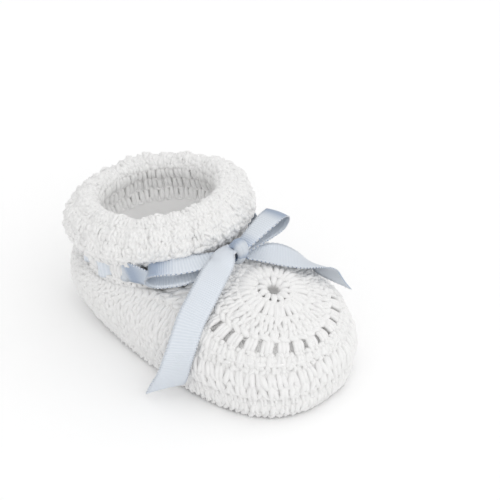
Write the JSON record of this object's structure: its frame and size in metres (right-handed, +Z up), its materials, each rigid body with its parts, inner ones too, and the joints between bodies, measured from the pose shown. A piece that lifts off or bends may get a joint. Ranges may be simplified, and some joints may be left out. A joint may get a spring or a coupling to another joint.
{
  "type": "baby bootie",
  "caption": "Crocheted newborn bootie with a round vamp medallion, a turned-down shell-edged cuff and a satin ribbon tied in a bow round the ankle.",
  "frame": {"origin": "middle of the sole's underside, on the surface the bootie stands on", "axes": "+X towards the toe, +Y towards the wearer's left, +Z up"},
  "size_m": [0.0951, 0.0601, 0.0455],
  "materials": {
    "white_cotton_yarn": "matt mercerised cotton yarn, crocheted",
    "blue_satin_ribbon": "satin face with a fine cross rib and a picot-dotted selvedge"
  },
  "bodies": {
    "bootie": {"sole": "white_cotton_yarn", "sole_edge_braid": "white_cotton_yarn", "heel_wall": "white_cotton_yarn", "toe_wall": "white_cotton_yarn", "vamp_filet_posts": "white_cotton_yarn", "medallion_rim": "white_cotton_yarn", "medallion_spokes": "white_cotton_yarn", "medallion_ring": "white_cotton_yarn", "casing_lower_band": "white_cotton_yarn", "casing_posts": "white_cotton_yarn", "casing_upper_band": "white_cotton_yarn", "cuff_inner": "white_cotton_yarn", "cuff_fold": "white_cotton_yarn", "cuff_outer": "white_cotton_yarn", "cuff_shell_edging": "white_cotton_yarn", "ribbon_band": "blue_satin_ribbon", "ribbon_front_right": "blue_satin_ribbon", "ribbon_front_left": "blue_satin_ribbon", "ribbon_knot": "blue_satin_ribbon"},
    "tail_right": {"ribbon_tail_right": "blue_satin_ribbon"},
    "tail_left": {"ribbon_tail_left": "blue_satin_ribbon"},
    "loop_right": {"bow_loop_right": "blue_satin_ribbon"},
    "loop_left": {"bow_loop_left": "blue_satin_ribbon"}
  },
  "joints": [
    {"name": "tail_right_lift", "type": "hinge", "parent": "bootie", "child": "tail_right", "pos_m": [0.0116, -0.0037, 0.037], "axis": [-1, 0, 0], "range_deg": [0, 50]},
    {"name": "tail_left_lift", "type": "hinge", "parent": "bootie", "child": "tail_left", "pos_m": [0.0154, 0.0036, 0.0334], "axis": [0.7369, -0.676, 0], "range_deg": [0, 20]},
    {"name": "loop_right_swing", "type": "hinge", "parent": "bootie", "child": "loop_right", "pos_m": [0.0114, -0.0037, 0.0343], "axis": [0, 0, 1], "range_deg": [0, 5]},
    {"name": "loop_left_lift", "type": "hinge", "parent": "bootie", "child": "loop_left", "pos_m": [0.0122, 0.0036, 0.0362], "axis": [1, 0, 0], "range_deg": [0, 30]}
  ]
}
